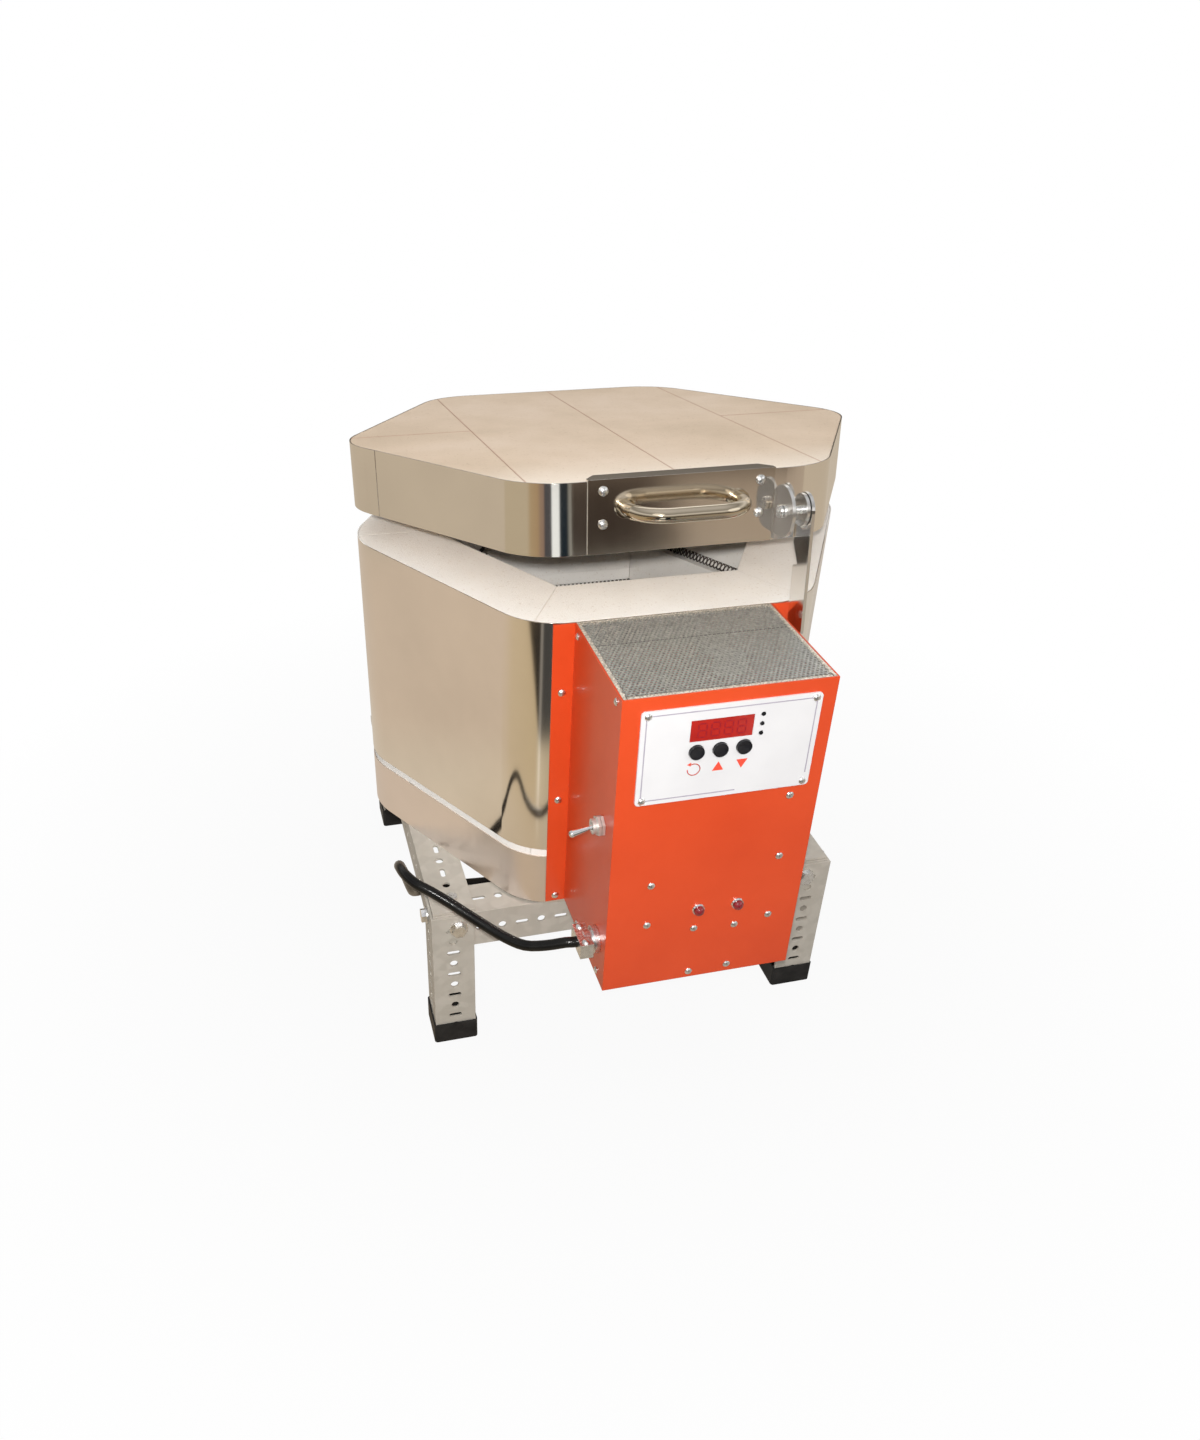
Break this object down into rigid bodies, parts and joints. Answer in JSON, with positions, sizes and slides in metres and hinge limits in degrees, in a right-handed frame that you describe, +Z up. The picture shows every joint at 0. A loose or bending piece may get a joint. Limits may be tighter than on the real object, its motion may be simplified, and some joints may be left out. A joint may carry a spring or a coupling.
{
  "type": "bead annealing kiln",
  "caption": "Six-sided firebrick kiln with hinged lid, front controller box and slotted-angle stand.",
  "frame": {"origin": "on the bench plane, below the middle of the whole kiln without its free cord", "axes": "+X to the kiln's right, +Y to its back, away from the controller box, +Z up"},
  "size_m": [0.4474, 0.6898, 0.535],
  "materials": {
    "firebrick": null,
    "stainless": "polished stainless sheet with a soft reflection",
    "tray_steel": "satin stainless sheet",
    "element_wire": "oxidised resistance wire, dark grey",
    "ceramic": "white glazed ceramic",
    "orange_enamel": "red-orange powder coat, semi gloss",
    "grille_steel": "grey perforated sheet",
    "white_face": "white printed plate, satin",
    "display_red": "dark red display window",
    "black_plastic": "black moulded plastic",
    "lens_red": "clear red lens",
    "chrome_trim": "bright plating",
    "switch_black": "moulded switch housing",
    "board_green": "green circuit board",
    "galvanised": "galvanised slotted angle, dull with fine spangle",
    "zinc_bolt": "zinc plated fasteners",
    "cap_black": "black moulded foot caps",
    "cord_black": "black rubber cord",
    "polished_bar": "polished stainless bar",
    "blade_brass": "plated brass blades"
  },
  "bodies": {
    "kiln": {"wall_bricks": "firebrick", "jacket": "stainless", "floor_slab": "firebrick", "base_tray": "tray_steel", "heating_element": "element_wire", "terminal_sleeves": "ceramic", "terminal_pins": "zinc_bolt", "thermocouple": "ceramic", "control_box": "orange_enamel", "grille_top": "grille_steel", "faceplate": "white_face", "display_window": "display_red", "led_lamps": "black_plastic", "pilot_bezels": "chrome_trim", "pilot_lenses": "lens_red", "toggle_body": "switch_black", "toggle_nuts": "chrome_trim", "cord_clamp": "zinc_bolt", "power_relay": "switch_black", "controller_board": "board_green", "terminal_block": "ceramic", "panel_screws": "zinc_bolt", "faceplate_screws": "zinc_bolt", "flange_screws": "zinc_bolt", "box_side_screws": "zinc_bolt", "front_rail": "galvanised", "rear_rail": "galvanised", "left_rail": "galvanised", "right_rail": "galvanised", "leg_front_left": "galvanised", "leg_front_right": "galvanised", "leg_rear_left": "galvanised", "leg_rear_right": "galvanised", "foot_caps": "cap_black", "stand_bolts": "zinc_bolt", "hinge_body_leaf": "polished_bar", "hinge_pin": "zinc_bolt", "hinge_body_screws": "zinc_bolt", "power_cord": "cord_black", "cord_coil": "cord_black", "cord_tie": "cord_black", "plug": "cord_black", "plug_blades": "blade_brass"},
    "lid": {"lid_bricks": "firebrick", "lid_band": "stainless", "handle_plate": "polished_bar", "handle": "polished_bar", "handle_rivets": "zinc_bolt", "catch_bracket": "polished_bar", "catch_screws": "zinc_bolt", "catch_pin": "zinc_bolt", "hinge_lid_leaf": "polished_bar", "hinge_lid_screws": "zinc_bolt"},
    "catch": {"catch_arm": "polished_bar"},
    "toggle": {"toggle_lever": "chrome_trim"},
    "start_key": {"key_start": "black_plastic"},
    "up_key": {"key_up": "black_plastic"},
    "down_key": {"key_down": "black_plastic"}
  },
  "joints": [
    {"name": "lid_hinge", "type": "hinge", "parent": "kiln", "child": "lid", "pos_m": [0, 0.26117, 0.4292], "axis": [-1, 0, 0], "range_deg": [-7.4, 88]},
    {"name": "catch_pivot", "type": "hinge", "parent": "lid", "child": "catch", "pos_m": [0.09225, -0.14727, 0.50766], "axis": [-1, 0, 0], "range_deg": [0, 100]},
    {"name": "toggle_pivot", "type": "hinge", "parent": "kiln", "child": "toggle", "pos_m": [-0.0852, -0.23477, 0.3078], "axis": [0, 1, 0], "range_deg": [0, 27.4]},
    {"name": "press_start", "type": "slide", "parent": "kiln", "child": "start_key", "axis": [0, 1, 0], "range_m": [0, 0.001], "stiffness_N_per_m": 600, "springref_m": -0.001},
    {"name": "press_up", "type": "slide", "parent": "kiln", "child": "up_key", "axis": [0, 1, 0], "range_m": [0, 0.001], "stiffness_N_per_m": 600, "springref_m": -0.001},
    {"name": "press_down", "type": "slide", "parent": "kiln", "child": "down_key", "axis": [0, 1, 0], "range_m": [0, 0.001], "stiffness_N_per_m": 600, "springref_m": -0.001}
  ]
}
